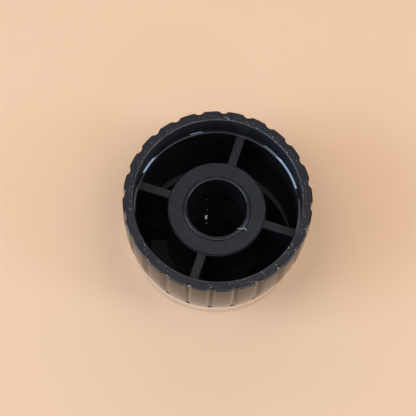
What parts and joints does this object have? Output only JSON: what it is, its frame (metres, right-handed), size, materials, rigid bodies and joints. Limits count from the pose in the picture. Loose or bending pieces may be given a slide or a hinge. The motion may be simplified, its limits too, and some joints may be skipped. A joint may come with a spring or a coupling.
{
  "type": "knurled control knob",
  "caption": "Round push-on control knob in black plastic with a bowed, fluted grip, an open back, a webbed boss and a blind round bore for a shaft.",
  "frame": {"origin": "centre of the plain face, on the surface that the knob lies on", "axes": "+Z along the bore's axis, out of its mouth at the open back; the webs lie along X and Y"},
  "size_m": [0.02, 0.02, 0.0108],
  "materials": {
    "knob_plastic": "glossy black moulded plastic, satin on the rim, boss and webs, with a bright line round the lip at the face"
  },
  "bodies": {
    "root": {"knob": "knob_plastic"}
  },
  "joints": []
}
